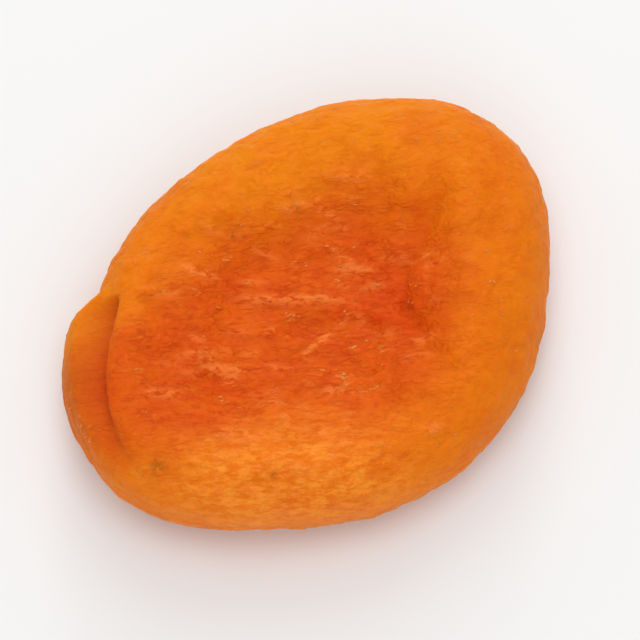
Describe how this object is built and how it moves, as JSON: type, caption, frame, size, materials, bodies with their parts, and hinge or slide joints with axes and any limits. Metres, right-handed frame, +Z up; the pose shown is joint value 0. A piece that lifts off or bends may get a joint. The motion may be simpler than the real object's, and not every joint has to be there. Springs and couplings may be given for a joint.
{
  "type": "dried apricot",
  "caption": "Whole pitted dried apricot: a plump pressed oval with a rolled rim round a sunken, wrinkled face, and the stone's slit open at the stem end.",
  "frame": {"origin": "under the middle of the fruit's outline box, on the surface that it lies on", "axes": "+X along the long axis, away from the stem end and its slit; +Z up through the sunken face; +Y across, on the side of the slit's sharp corner"},
  "size_m": [0.0448, 0.0342, 0.0101],
  "materials": {
    "dried_flesh": "satin"
  },
  "bodies": {
    "root": {"apricot": "dried_flesh"}
  },
  "joints": []
}
